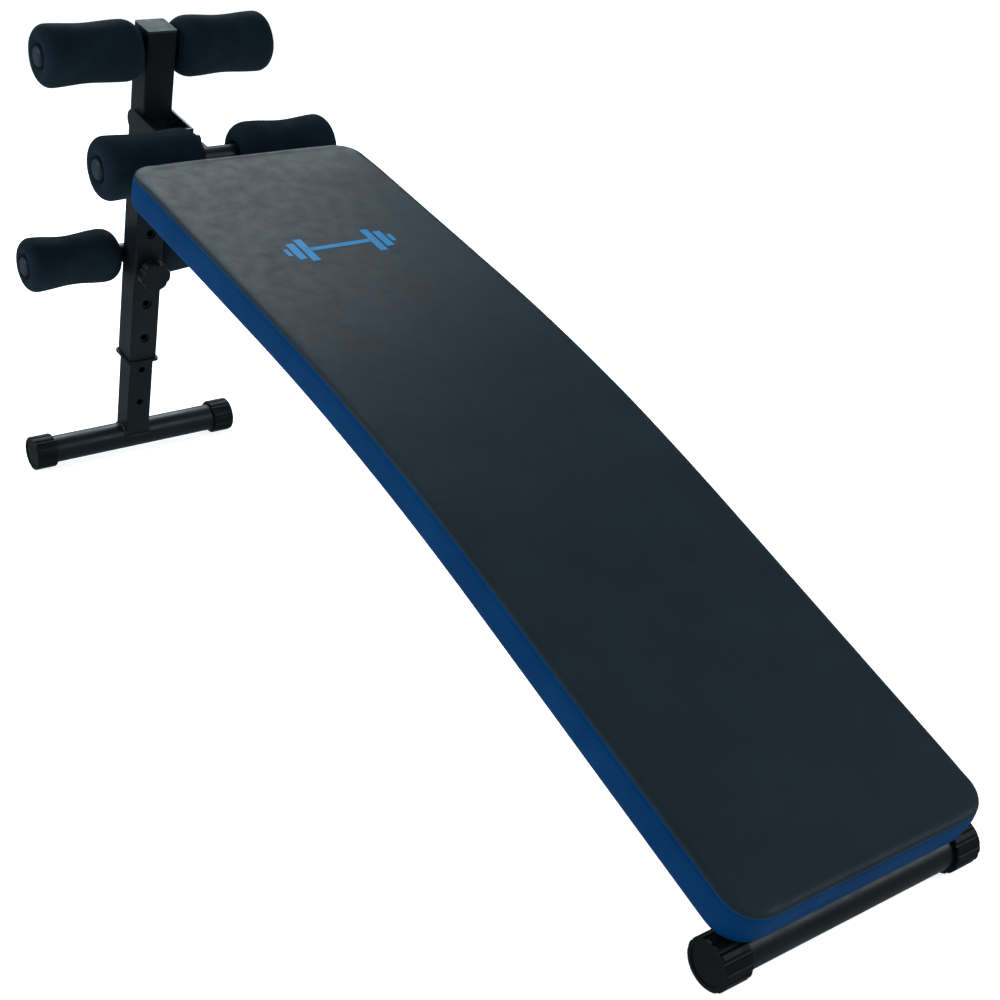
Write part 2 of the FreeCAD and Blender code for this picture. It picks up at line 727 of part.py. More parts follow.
def foot_parts():
    feet = (("low_foot", LOW_FOOT_X, LOW_FOOT_HALF), ("leg_foot", HIGH_FOOT_X, HIGH_FOOT_HALF))
    parts = {}
    for name, x, half_length in feet:
        cap = foot_cap(x, half_length)
        parts[name + "_tube"] = foot_tube(x, half_length)
        parts[name + "_cap_left"] = mirrored(cap)
        parts[name + "_cap_right"] = cap
    return parts


def frame_parts():
    return {
        "main_frame_tube": main_frame_tube(),
        "fork_cheek_left": fork_cheek("left"),
        "fork_cheek_right": fork_cheek("right"),
        "fork_end_plate": fork_end_plate(),
        "fork_stop_plate": fork_stop_plate(),
        "pivot_bolt": pivot_bolt(),
        "pivot_nut": pivot_nut(),
        "pivot_spacers": pivot_spacers(),
        "lock_barrel": lock_barrel(),
        "lock_pin": lock_pin(),
        "lock_knob": lock_knob(),
    }


def post_parts():
    return {
        "post_tube": post_tube(),
        "post_pivot_bush": post_pivot_bush(),
        "post_top_plug": post_top_plug(),
        "post_sleeve": post_sleeve(),
        "knob_boss": knob_boss(),
        "height_pin": height_pin(),
        "height_knob": height_knob(),
        "leg_tube": leg_tube(),
        "leg_top_guide": leg_top_guide(),
    }


def roller_parts():
    radii = {"top": BIG_ROLLER_R, "middle": BIG_ROLLER_R, "lower": SMALL_ROLLER_R}
    parts = {}
    for level, centre in bar_centres().items():
        parts[level + "_bar"] = roller_bar(centre)
        parts[level + "_bar_plugs"] = bar_plugs(centre)
        for side_name, side in SIDES.items():
            parts[level + "_roller_" + side_name] = foam_roller(centre, radii[level], side)
    return parts


def pad_parts():
    parts = {
        "pad_board": pad_board(),
        "pad_foam_core": pad_foam_core(),
        "pad_side_band": pad_side_band(),
        "pad_top_panel": pad_top_panel(),
        "pad_screws": pad_screws(),
        "pad_tee_nuts": pad_tee_nuts(),
    }
    for name, station in PLATE_STATIONS.items():
        parts["pad_plate_" + name] = pad_plate(station)
    return parts


def main():
    os.makedirs("parts", exist_ok=True)
    for group in (foot_parts, frame_parts, post_parts, roller_parts, pad_parts):
        for name, shape in group().items():
            shape.exportStep("parts/" + name + ".step")


main()
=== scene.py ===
import json
import math
import random

import bpy
import numpy as np
from mathutils import Matrix, Vector, noise
from mathutils.bvhtree import BVHTree


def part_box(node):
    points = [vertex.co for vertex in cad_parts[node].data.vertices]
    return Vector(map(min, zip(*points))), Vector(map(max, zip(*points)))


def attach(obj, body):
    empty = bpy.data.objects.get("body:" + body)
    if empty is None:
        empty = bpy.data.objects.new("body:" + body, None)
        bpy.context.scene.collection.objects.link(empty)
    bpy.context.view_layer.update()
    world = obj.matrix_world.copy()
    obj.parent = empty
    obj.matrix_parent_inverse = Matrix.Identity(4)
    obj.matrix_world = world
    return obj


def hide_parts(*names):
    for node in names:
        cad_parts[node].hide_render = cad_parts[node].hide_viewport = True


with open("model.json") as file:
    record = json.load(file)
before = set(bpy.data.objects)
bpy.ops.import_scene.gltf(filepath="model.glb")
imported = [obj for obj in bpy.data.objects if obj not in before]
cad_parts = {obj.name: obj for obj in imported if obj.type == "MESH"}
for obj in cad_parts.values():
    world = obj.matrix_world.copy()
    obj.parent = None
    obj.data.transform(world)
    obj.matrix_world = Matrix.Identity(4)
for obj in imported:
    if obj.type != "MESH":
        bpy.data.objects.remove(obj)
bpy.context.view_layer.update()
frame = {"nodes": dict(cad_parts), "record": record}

# Looks for the decline sit up bench. Metres, in the CAD part's frame: +X to the low end of the pad,
# +Z up.

# ---- the camera, at the photograph's viewing angle ----

CAMERA_PLACE = Vector((1.4400, -0.9419, 0.8657))
CAMERA_AZIMUTH = math.radians(53.04)
CAMERA_DOWN = math.radians(22.94)
CAMERA_ROLL = math.radians(0.98)
LENS_MM = 59.76
SENSOR_MM = 36.0
CAMERA_SHIFT = (0.0058, 0.0136)

# ---- the pad: its side-view curve and its plan, as in the CAD part ----

LOW_SLOPE = math.radians(25.6)
FORK_SLOPE = math.radians(13.2)
# each span of the curve, from the low foot upwards: length, and how far it turns towards level
PAD_SPANS = (
    (0.376, 0.0),
    (2.805 * math.radians(8.5), math.radians(8.5)),
    (0.232, 0.0),
    (0.900 * math.radians(6.0), math.radians(6.0)),
)
PAD_FIRST = -0.0075
PAD_LAST = 1.100
PAD_HALF_WIDTH = 0.150
PAD_CORNER_R = 0.032
SEAM_RING = 4
# the cover's section from the top panel's rim outwards and down: distance out from the plan outline, and
# level above the frame's centre line. Ring SEAM_RING is the pinched seam, and the last one is the margin
# stapled under the board.
COVER_SECTION = (
    (-0.0105, 0.0652),
    (-0.0060, 0.0644),
    (-0.0024, 0.0627),
    (-0.0006, 0.0606),
    (-0.0016, 0.0590),
    (-0.0002, 0.0570),
    (0.0006, 0.0500),
    (0.0008, 0.0430),
    (0.0006, 0.0350),
    (0.0000, 0.0290),
    (-0.0014, 0.0252),
    (-0.0045, 0.0236),
    (-0.0150, 0.0234),
    (-0.0240, 0.0234),
)
CROWN = 0.0008
# the top panel's slow rises and hollows: height, and how many there are per metre along and across
BROAD_WAVES = (0.0006, 5.0, 9.0)
FINE_WAVES = (0.00014, 19.0, 24.0)
ROWS_PER_CORNER = 7
ROW_SPACING = 0.0085
COLUMNS = 39
COVER_THICKNESS = 0.0014
WELT_R = 0.0010
WELT_OUT = 0.0008

# the cloth run that swells the cover
INFLATE_FRAMES = 20
INFLATE_PRESSURE = 4.0
INFLATE_CAP = 0.0030
CLOTH_QUALITY = 6
CLOTH_MASS = 0.3
STRETCH_STIFFNESS = 25.0
SHEAR_STIFFNESS = 12.0
BENDING_STIFFNESS = 0.8
# how firmly the cover's rings are held while it swells: the stapled margin, the seam, and the rest
FIRST_STAPLED_RING = 9
HELD_MARGIN, HELD_SEAM, HELD_SIDE = 1.0, 0.92, 0.25

# ---- staples under the board, and the printed sign ----

STAPLE_SPACING = 0.038
STAPLE_INSET = 0.015
STAPLE_WIRE_R = 0.0006
STAPLE_HALF_LENGTH = 0.0052
STAPLE_SIDES = 6
STAPLE_SINK = 0.0004
SIGN_ALONG = 0.875
SIGN_CELL = 0.0022
# half the film's thickness, how many such halves lie under the pad's surface, and a level well over it
SIGN_FILM = 0.00016
SIGN_SUNK = 0.4
OVER_PAD = 0.09
# each bar of the sign, beside its handle: distance from the middle, and half size across and along the pad
SIGN_HANDLE = (0.0375, 0.0034)
SIGN_PLATES = ((0.0430, 0.0048, 0.0235), (0.0560, 0.0048, 0.0165), (0.0665, 0.0026, 0.0074))

# ---- foam rollers ----

ROLLER_INNER_Y = 0.025
ROLLER_OUTER_Y = 0.155
ROLLER_BORE_R = 0.0128
ROLLER_SEGMENTS = 112
# how much slimmer a roller is at its middle, and the roundings of its ends: along the axis, and across it
ROLLER_WAIST = {"top": 0.0022, "middle": 0.0026, "lower": 0.0034}
ROLLER_INNER_ROUND = (0.0210, 0.0165)
ROLLER_OUTER_ROUND = (0.0140, 0.0140)
# the funnel into the bore at the outer end: distance in from the end, and radius
ROLLER_MOUTH = (
    (0.0004, 0.0195),
    (0.0030, 0.0168),
    (0.0066, ROLLER_BORE_R + 0.0008),
    (0.0080, ROLLER_BORE_R),
)
# the bevel of the bore at the inner end: along the axis, and across it
ROLLER_BEVEL = (0.0015, 0.0040)
ROLLER_ROUND_STEPS = 12
ROLLER_BODY_STEPS = 20
# dents of the foam's skin: depth, how far below the full radius they sit on average, and noise scales
# across and along the roller. The bore stays round.
DENT_DEPTH = 0.0006
DENT_SINK = 0.0004
DENT_SCALE = (1.6, 26.0)
DENTS_PAST_BORE = 0.006

# ---- the post, and the weld beads ----

POST_LEAN = math.radians(15.3)
POST_HALF = 0.020
LEG_HALF = 0.0175
TUBE_SIDES = 8
BEAD_R = 0.0018
SMALL_BEAD_R = 0.0013
FOOT_BEAD_R = 0.0021
BEAD_WOBBLE = 0.45
BEAD_GRAIN = 260.0
# where a bead runs beside a roller bar: how far towards the tube it is welded to, and out along it
BAR_WELD_DEPTH = 0.0112
BAR_WELD_OUT = 0.0078
BAR_WELD_HALF_RUN = 0.017
# radii at which beads run round the top bar, the knob's boss and the lock pin's barrel
TOP_BAR_RING_R = 0.0135
BOSS_RING_R = 0.0093
BARREL_RING_R = 0.0103
RING_OFF_POST = 0.0003
BOSS_HALF_LENGTH = 0.0048
# radii at which beads run over the two foot tubes
LEG_SADDLE_R = 0.0193
FRAME_SADDLE_R = 0.0194

X_AXIS = Vector((1.0, 0.0, 0.0))
Y_AXIS = Vector((0.0, 1.0, 0.0))
Z_AXIS = Vector((0.0, 0.0, 1.0))

# ---- the studio ----

FLOOR_REACH = 30.0
WORLD_GLOW = 0.32
# name, place, target, size, watts and colour
LIGHTS = (
    ("back_key", (-2.6, 0.9, 2.4), (-0.3, 0.0, 0.4), (1.8, 1.6), 76.0, (0.84, 0.94, 1.0)),
    ("side_key", (-1.4, -3.2, 2.1), (-0.2, 0.0, 0.3), (2.4, 1.8), 95.0, (0.84, 0.94, 1.0)),
    ("front_fill", (2.5, 2.0, 1.7), (0.6, 0.0, 0.1), (1.6, 1.2), 42.0, (0.92, 0.97, 1.0)),
)


# ---- small helpers ----


def body_of_node(node):
    return next(b for b, members in frame["record"]["behaviour"]["bodies"].items() if node in members)


def centre_of(node):
    low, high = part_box(node)
    return (low + high) / 2


def mesh_object(name, points, faces, body, look):
    mesh = bpy.data.meshes.new(name)
    mesh.from_pydata([tuple(p) for p in points], [], faces)
    mesh.validate()
    mesh.update()
    ob = bpy.data.objects.new(name, mesh)
    bpy.context.scene.collection.objects.link(ob)
    ob.data.materials.append(look)
    ob.data.polygons.foreach_set("use_smooth", [True] * len(ob.data.polygons))
    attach(ob, body)
    return ob


def grid_faces(rows, columns, start=0, wrap_rows=False, wrap_columns=False):
    """Quads of a grid whose points are stored row by row."""
    faces = []
    for r in range(rows if wrap_rows else rows - 1):
        for c in range(columns if wrap_columns else columns - 1):
            a = start + r * columns + c
            b = start + r * columns + (c + 1) % columns
            d = start + ((r + 1) % rows) * columns + c
            e = start + ((r + 1) % rows) * columns + (c + 1) % columns
            faces.append((a, b, e, d))
    return faces


# ---- node materials ----


class Look:
    """A Principled material, with short ways to add procedural detail in the object's own coordinates."""

    def __init__(self, name, metallic=0.0, specular=0.5):
        self.material = bpy.data.materials.new(name)
        self.material.use_nodes = True
        self.nodes = self.material.node_tree.nodes
        self.links = self.material.node_tree.links
        self.shader = self.nodes["Principled BSDF"]
        self.shader.inputs["Metallic"].default_value = metallic
        self.shader.inputs["Specular IOR Level"].default_value = specular
        self.place = self.nodes.new("ShaderNodeTexCoord").outputs["Object"]
        self.last_normal = None

    def stretched(self, scale):
        mapping = self.nodes.new("ShaderNodeMapping")
        mapping.inputs["Scale"].default_value = scale
        self.links.new(self.place, mapping.inputs["Vector"])
        return mapping.outputs["Vector"]

    def noise(self, scale, detail=3.0, roughness=0.55, distortion=0.0, stretch=None):
        node = self.nodes.new("ShaderNodeTexNoise")
        node.inputs["Scale"].default_value = scale
        node.inputs["Detail"].default_value = detail
        node.inputs["Roughness"].default_value = roughness
        node.inputs["Distortion"].default_value = distortion
        self.links.new(self.stretched(stretch) if stretch else self.place, node.inputs["Vector"])
        return node.outputs["Fac"]

    def cells(self, scale, feature="F1", wander=0.0):
        """Voronoi cells, for leather grain and foam pores."""
        node = self.nodes.new("ShaderNodeTexVoronoi")
        node.feature = feature
        node.inputs["Scale"].default_value = scale
        source = self.place
        if wander:
            source = self.wandering(wander, scale * 0.4)
        self.links.new(source, node.inputs["Vector"])
        return node.outputs["Distance"]

    def wandering(self, amount, scale):
        """The object's coordinates pushed about by a noise."""
        node = self.nodes.new("ShaderNodeTexNoise")
        node.inputs["Scale"].default_value = scale
        self.links.new(self.place, node.inputs["Vector"])
        shift = self.nodes.new("ShaderNodeVectorMath")
        shift.operation = "MULTIPLY_ADD"
        shift.inputs[1].default_value = (amount, amount, amount)
        self.links.new(node.outputs["Color"], shift.inputs[0])
        self.links.new(self.place, shift.inputs[2])
        return shift.outputs["Vector"]

    def ramp(self, value, stops):
        node = self.nodes.new("ShaderNodeValToRGB")
        elements = node.color_ramp.elements
        while len(elements) < len(stops):
            elements.new(0.5)
        for element, (position, colour) in zip(elements, stops):
            element.position = position
            element.color = (*colour, 1.0)
        self.links.new(value, node.inputs["Fac"])
        return node.outputs["Color"]

    def spread(self, value, low, high, from_low=0.3, from_high=0.7):
        node = self.nodes.new("ShaderNodeMapRange")
        node.inputs["From Min"].default_value = from_low
        node.inputs["From Max"].default_value = from_high
        node.inputs["To Min"].default_value = low
        node.inputs["To Max"].default_value = high
        self.links.new(value, node.inputs["Value"])
        return node.outputs["Result"]

    def mix(self, share, first, second):
        node = self.nodes.new("ShaderNodeMix")
        node.data_type = "RGBA"
        self.links.new(share, node.inputs["Factor"])
        for socket, value in ((node.inputs[6], first), (node.inputs[7], second)):
            if isinstance(value, tuple):
                socket.default_value = (*value, 1.0)
            else:
                self.links.new(value, socket)
        return node.outputs[2]

    def upward(self, low, high):
        """How far the surface faces up, in the object's own frame, from 0 at low to 1 at high."""
        split = self.nodes.new("ShaderNodeSeparateXYZ")
        coords = self.nodes.new("ShaderNodeTexCoord")
        self.links.new(coords.outputs["Normal"], split.inputs["Vector"])
        return self.spread(split.outputs["Z"], 0.0, 1.0, low, high)

    def times(self, first, second):
        node = self.nodes.new("ShaderNodeMath")
        node.operation = "MULTIPLY"
        self.links.new(first, node.inputs[0])
        self.links.new(second, node.inputs[1])
        return node.outputs["Value"]

    def bump(self, height, strength, depth):
        node = self.nodes.new("ShaderNodeBump")
        node.inputs["Strength"].default_value = strength
        node.inputs["Distance"].default_value = depth
        self.links.new(height, node.inputs["Height"])
        if self.last_normal:
            self.links.new(self.last_normal, node.inputs["Normal"])
        self.last_normal = node.outputs["Normal"]
        self.links.new(self.last_normal, self.shader.inputs["Normal"])

    def colour(self, socket):
        self.links.new(socket, self.shader.inputs["Base Color"])

    def rough(self, socket):
        self.links.new(socket, self.shader.inputs["Roughness"])


def tint(colour, factor):
    return tuple(c * factor for c in colour)


def powder_coat():
    """Satin powder coat: orange peel, slow tone changes, dust on top faces and a few rubbed specks."""
    base = (0.0042, 0.0056, 0.0070)
    look = Look("black_powder_coat", specular=0.22)
    look.shader.inputs["Specular Tint"].default_value = (0.78, 0.93, 1.0, 1.0)
    tone = look.noise(9.0, detail=4.0)
    paint = look.ramp(tone, [(0.30, tint(base, 0.72)), (0.55, base), (0.78, tint(base, 1.5))])
    patches = look.spread(look.noise(55.0, detail=6.0), 0.0, 0.5, 0.42, 0.72)
    dust = look.times(look.upward(0.55, 1.0), patches)
    dusty = look.mix(dust, paint, (0.022, 0.026, 0.029))
    grit = look.noise(140.0, detail=8.0, roughness=0.7, stretch=(1.0, 1.0, 0.25))
    specks = look.spread(grit, 0.0, 1.0, 0.735, 0.77)
    look.colour(look.mix(specks, dusty, (0.050, 0.052, 0.054)))
    look.rough(look.spread(look.noise(38.0, detail=5.0), 0.33, 0.46))
    look.bump(look.noise(620.0, detail=2.0), 0.16, 0.0004)
    look.bump(look.noise(70.0, detail=2.0), 0.05, 0.0008)
    return look.material


def moulded_plastic(name, base, roughness=(0.45, 0.60), specular=0.4):
    """Moulded plastic with a fine spark-eroded grain."""
    look = Look(name, specular=specular)
    tone = look.noise(24.0, detail=4.0)
    look.colour(look.ramp(tone, [(0.3, tint(base, 0.78)), (0.55, base), (0.8, tint(base, 1.35))]))
    look.rough(look.spread(look.noise(85.0, detail=5.0), *roughness))
    look.bump(look.noise(2300.0, detail=2.0), 0.22, 0.00012)
    look.bump(look.noise(90.0, detail=2.0), 0.06, 0.0005)
    return look.material


def zinc_plate():
    look = Look("zinc_plate", metallic=1.0)
    tone = look.noise(60.0, detail=5.0)
    stops = [(0.3, (0.34, 0.34, 0.36)), (0.55, (0.52, 0.52, 0.53)), (0.8, (0.62, 0.61, 0.58))]
    look.colour(look.ramp(tone, stops))
    look.rough(look.spread(look.noise(190.0, detail=6.0, stretch=(1.0, 0.2, 1.0)), 0.24, 0.46))
    look.bump(look.noise(900.0, detail=3.0, stretch=(1.0, 0.15, 1.0)), 0.12, 0.0001)
    return look.material


def weld_metal():
    """Weld bead under the powder coat."""
    look = Look("weld_bead", specular=0.22)
    tone = look.noise(160.0, detail=3.0)
    dark, plain, bright = (0.0034, 0.0045, 0.0056), (0.0050, 0.0064, 0.0078), (0.0090, 0.0105, 0.0120)
    look.colour(look.ramp(tone, [(0.3, dark), (0.6, plain), (0.8, bright)]))
    look.rough(look.spread(look.noise(260.0), 0.34, 0.52))
    look.bump(look.noise(900.0, detail=3.0), 0.3, 0.0004)
    return look.material


def plywood():
    """Face veneer: long fibres along the bench and slow figure."""
    look = Look("plywood", specular=0.3)
    fibre = look.noise(90.0, detail=8.0, roughness=0.65, distortion=0.4, stretch=(0.06, 1.0, 1.0))
    figure = look.noise(6.0, detail=3.0, distortion=1.5, stretch=(0.25, 1.0, 1.0))
    stops = [(0.30, (0.30, 0.19, 0.105)), (0.52, (0.46, 0.32, 0.19)), (0.72, (0.56, 0.42, 0.27))]
    grain = look.ramp(fibre, stops)
    look.colour(look.mix(look.spread(figure, 0.0, 0.45), grain, (0.36, 0.235, 0.13)))
    look.rough(look.spread(fibre, 0.58, 0.76))
    look.bump(fibre, 0.25, 0.0004)
    return look.material


def leatherette(name, stops, roughness, specular, grain_depth=0.00022, reflection=(1.0, 1.0, 1.0)):
    """Coated upholstery cloth: pebbled grain, painted shade in its crevices, stretched pores, slow mottling
    from the foam below.
    """
    look = Look(name, specular=specular)
    mottle = look.noise(13.0, detail=5.0, roughness=0.6)
    pebbles = look.cells(900.0, feature="SMOOTH_F1", wander=0.0012)
    tone = look.ramp(mottle, stops)
    # the grain's crevices are painted darker: painted shade in the hollows of the pebbled grain
    painted_crevice_shade = look.spread(pebbles, 0.0, 0.38, 0.10, 0.62)
    look.colour(look.mix(painted_crevice_shade, tone, tint(stops[0][1], 0.55)))
    look.rough(look.spread(look.noise(60.0, detail=6.0), *roughness))
    look.bump(pebbles, 0.30, grain_depth)
    look.bump(look.noise(210.0, detail=4.0), 0.16, 0.0005)
    look.bump(look.noise(24.0, detail=3.0), 0.05, 0.0016)
    look.shader.inputs["Specular Tint"].default_value = (*reflection, 1.0)
    return look.material


def roller_foam():
    """Closed-cell foam: fine pores with painted shade in their hollows, soft lint-like sheen, faint dents.
    """
    look = Look("roller_foam", specular=0.026)
    look.shader.inputs["Specular Tint"].default_value = (0.60, 0.85, 1.0, 1.0)
    tone = look.noise(34.0, detail=5.0)
    base = (0.0044, 0.0086, 0.0124)
    foam = look.ramp(tone, [(0.3, tint(base, 0.72)), (0.55, base), (0.8, tint(base, 1.6))])
    pores = look.cells(1500.0)
    # the pore hollows are painted darker than the cell walls between them: painted shade in the pores
    look.colour(look.mix(look.spread(pores, 0.0, 0.5, 0.25, 0.7), foam, tint(base, 2.2)))
    look.rough(look.spread(look.noise(48.0, detail=4.0), 0.74, 0.90))
    look.bump(pores, 0.40, 0.00025)
    look.bump(look.noise(130.0, detail=4.0), 0.20, 0.0007)
    look.bump(look.noise(22.0, detail=2.0), 0.10, 0.0025)
    look.shader.inputs["Sheen Weight"].default_value = 0.012
    look.shader.inputs["Sheen Roughness"].default_value = 0.50
    look.shader.inputs["Sheen Tint"].default_value = (0.45, 0.70, 0.90, 1.0)
    return look.material


def floor_look():
    look = Look("studio_floor", specular=0.0)
    tone = look.noise(1.2, detail=3.0)
    look.colour(look.ramp(tone, [(0.3, (0.84, 0.84, 0.84)), (0.7, (0.88, 0.88, 0.88))]))
    look.rough(look.spread(tone, 0.85, 0.95))
    look.shader.inputs["Emission Color"].default_value = (1.0, 1.0, 1.0, 1.0)
    look.shader.inputs["Emission Strength"].default_value = 0.80
    return look.material


# ---- pad geometry ----


def curve_places(u):
    """Centre-line points and slopes at distances along the pad's curve, as arrays."""
    axis = centre_of("low_foot_tube")
    x = np.empty_like(u)
    z = np.empty_like(u)
    slope = np.empty_like(u)
    px, pz, angle, begin = axis.x, axis.z, LOW_SLOPE, 0.0
    last = len(PAD_SPANS) - 1
    for i, (length, turn) in enumerate(PAD_SPANS):
        here = np.ones(u.shape, bool) if i == 0 else u >= begin
        if i < last:
            here &= u < begin + length
        d = u[here] - begin
        if turn == 0.0:
            x[here] = px - math.cos(angle) * d
            z[here] = pz + math.sin(angle) * d
            slope[here] = angle
            px, pz = px - math.cos(angle) * length, pz + math.sin(angle) * length
        else:
            radius = length / turn
            cx, cz = px - math.sin(angle) * radius, pz - math.cos(angle) * radius
            slope[here] = angle - d / radius
            x[here] = cx + np.sin(slope[here]) * radius
            z[here] = cz + np.cos(slope[here]) * radius
            angle -= turn
            px, pz = cx + math.sin(angle) * radius, cz + math.cos(angle) * radius
        begin += length
    return x, z, slope


def pad_points(u, y, level):
    """Points over the bench curve at a level square to it."""
    x, z, slope = curve_places(u)
    return np.stack([x + np.sin(slope) * level, y, z + np.cos(slope) * level], axis=-1)


def plan_rows():
    """The plan's rows: distance along, half width, and the angle of the outline's outward normal
    (0 looks to the low end, 90 sideways, 180 to the high end)."""
    r = PAD_CORNER_R
    rows = []
    for k in range(ROWS_PER_CORNER + 1):
        turn = math.pi / 2 * k / ROWS_PER_CORNER
        rows.append((PAD_FIRST + r - r * math.cos(turn), PAD_HALF_WIDTH - r + r * math.sin(turn), turn))
    straight = PAD_LAST - PAD_FIRST - 2 * r
    count = int(round(straight / ROW_SPACING))
    for k in range(1, count):
        rows.append((PAD_FIRST + r + straight * k / count, PAD_HALF_WIDTH, math.pi / 2))
    for k in range(ROWS_PER_CORNER, -1, -1):
        turn = math.pi / 2 * k / ROWS_PER_CORNER
        half_width = PAD_HALF_WIDTH - r + r * math.sin(turn)
        rows.append((PAD_LAST - r + r * math.cos(turn), half_width, math.pi - turn))
    return rows


def outline_loop(rows):
    """The plan outline as arrays: distance along, y, and outward normal, going once round."""
    shares = np.linspace(-1, 1, COLUMNS)
    loop = [(rows[0][0], s * rows[0][1], -1.0, 0.0) for s in shares]
    loop += [(u, w, -math.cos(a), math.sin(a)) for u, w, a in rows[1:-1]]
    loop += [(rows[-1][0], s * rows[-1][1], 1.0, 0.0) for s in shares[::-1]]
    loop += [(u, -w, -math.cos(a), -math.sin(a)) for u, w, a in rows[-2:0:-1]]
    return np.array(loop)


def rim_indices(rows):
    """Indices of the top grid's boundary, in the outline's order."""
    count = len(rows)
    rim = list(range(COLUMNS))
    rim += [r * COLUMNS + COLUMNS - 1 for r in range(1, count - 1)]
    rim += [(count - 1) * COLUMNS + c for c in range(COLUMNS - 1, -1, -1)]
    rim += [r * COLUMNS for r in range(count - 2, 0, -1)]
    return rim


def pad_panel(rows, inset, level, crown):
    """The top or bottom panel's points: the plan's rows, shrunk by the inset, with a gentle crown."""
    points = []
    middle = (PAD_FIRST + PAD_LAST) / 2
    shares = np.linspace(-1, 1, COLUMNS)
    for u, w, a in rows:
        u_in = u + inset * math.cos(a)
        w_in = w - inset * (math.sin(a) if w < PAD_HALF_WIDTH else 1.0)
        along = (u_in - middle) / ((PAD_LAST - PAD_FIRST) / 2)
        height = level + crown * (1 - shares**4) * (1 - along**8)
        points.append(pad_points(np.full(COLUMNS, u_in), shares * w_in, height))
    return np.concatenate(points)


def pad_cover_rings(loop):
    rings = []
    for out, level in COVER_SECTION[1:]:
        u = loop[:, 0] + loop[:, 2] * out
        y = loop[:, 1] + loop[:, 3] * out
        rings.append(pad_points(u, y, np.full(len(loop), level)))
    return rings


def held_share(ring):
    if ring >= FIRST_STAPLED_RING:
        return HELD_MARGIN
    return HELD_SEAM if ring == SEAM_RING else HELD_SIDE


def inflate(points, faces, held):
    """Blows the closed cover up as cloth, then caps how far each point may move."""
    mesh = bpy.data.meshes.new("pad_sim")
    mesh.from_pydata([tuple(p) for p in points], [], faces)
    mesh.update()
    ob = bpy.data.objects.new("pad_sim", mesh)
    bpy.context.scene.collection.objects.link(ob)
    group = ob.vertex_groups.new(name="held")
    for index, weight in enumerate(held):
        group.add([index], float(weight), "REPLACE")
    cloth = ob.modifiers.new("cloth", "CLOTH")
    settings = cloth.settings
    settings.quality = CLOTH_QUALITY
    settings.mass = CLOTH_MASS
    settings.tension_stiffness = STRETCH_STIFFNESS
    settings.compression_stiffness = STRETCH_STIFFNESS
    settings.shear_stiffness = SHEAR_STIFFNESS
    settings.bending_stiffness = BENDING_STIFFNESS
    settings.use_pressure = True
    settings.uniform_pressure_force = INFLATE_PRESSURE
    settings.effector_weights.gravity = 0.0
    settings.vertex_group_mass = "held"
    cloth.point_cache.frame_end = INFLATE_FRAMES
    for step in range(1, INFLATE_FRAMES + 1):
        bpy.context.scene.frame_set(step)
    evaluated = ob.evaluated_get(bpy.context.evaluated_depsgraph_get())
    blown = np.array([v.co for v in evaluated.data.vertices])
    bpy.data.objects.remove(ob)
    bpy.context.scene.frame_set(1)
    move = blown - points
    length = np.linalg.norm(move, axis=1, keepdims=True) + 1e-9
    return points + move * (INFLATE_CAP * np.tanh(length / INFLATE_CAP) / length)


def subdivide_once(ob):
    smooth = ob.modifiers.new("smooth", "SUBSURF")
    smooth.levels = 1
    smooth.render_levels = 1


def thicken(ob, thickness):
    """Gives an open skin its thickness inwards."""
    shell = ob.modifiers.new("thickness", "SOLIDIFY")
    shell.thickness = thickness
    shell.offset = -1.0


def foam_unevenness(points):
    """Slow hollows and rises of the top panel, a few tenths of a millimetre."""
    lift = np.zeros(len(points))
    for (height, per_x, per_y), slice_z in ((BROAD_WAVES, 3.1), (FINE_WAVES, 7.7)):
        for i, p in enumerate(points):
            lift[i] += height * noise.noise(Vector((p[0] * per_x, p[1] * per_y, slice_z)))
    return lift


